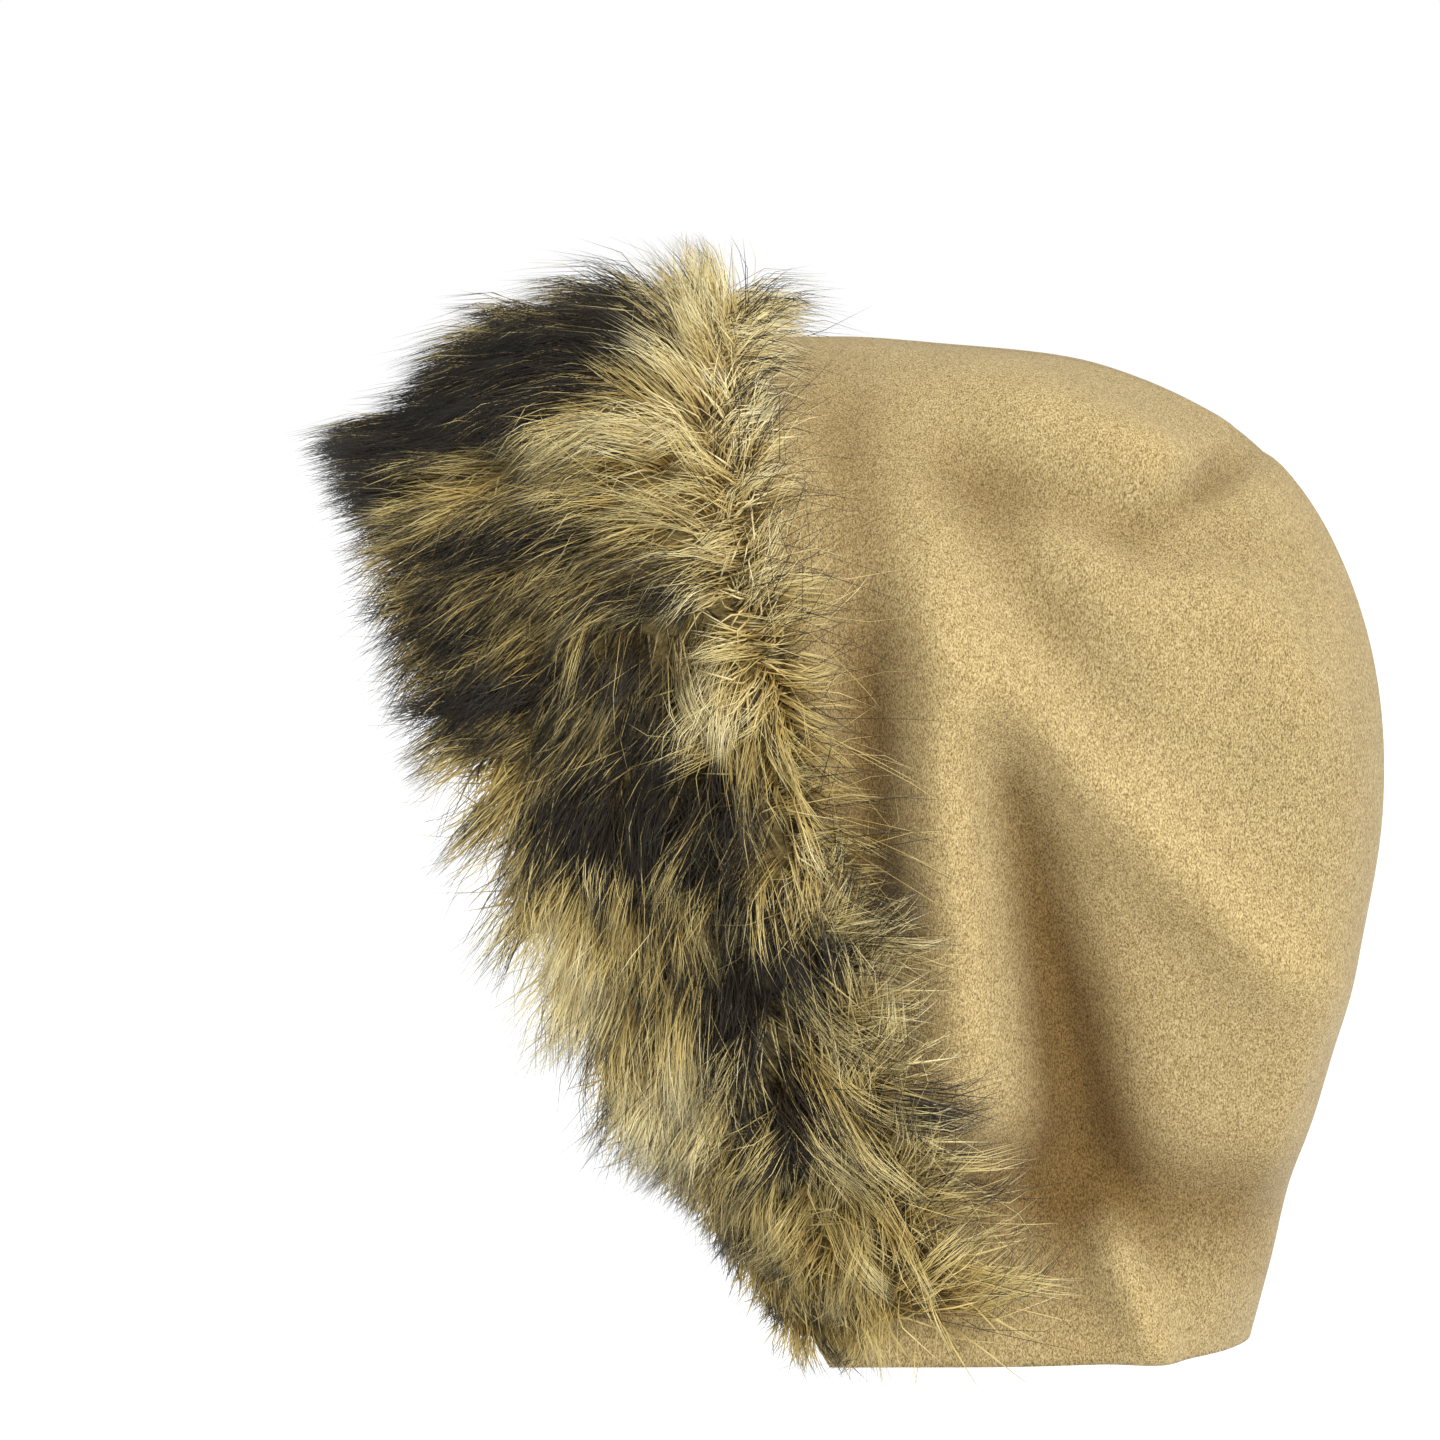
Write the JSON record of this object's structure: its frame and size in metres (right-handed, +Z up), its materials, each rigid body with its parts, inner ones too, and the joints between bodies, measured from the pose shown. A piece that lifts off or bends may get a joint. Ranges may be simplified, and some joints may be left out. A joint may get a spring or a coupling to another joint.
{
  "type": "fur-trimmed fleece hood",
  "caption": "Raised hood of brushed fleece: two side panels seamed over the crown, open at face and neck, with a deep fur strip round the face opening.",
  "frame": {"origin": "under the crown seam, where the top of a head touches the hood", "axes": "+Z up, -Y out of the face opening, +X to the wearer's left"},
  "size_m": [0.2649, 0.3684, 0.3584],
  "materials": {
    "fleece": "brushed napped fleece, matt",
    "fur": "long straw-coloured pile with dark guard hairs"
  },
  "bodies": {
    "root": {"left_panel": "fleece", "right_panel": "fleece", "fur_trim": "fur"}
  },
  "joints": []
}
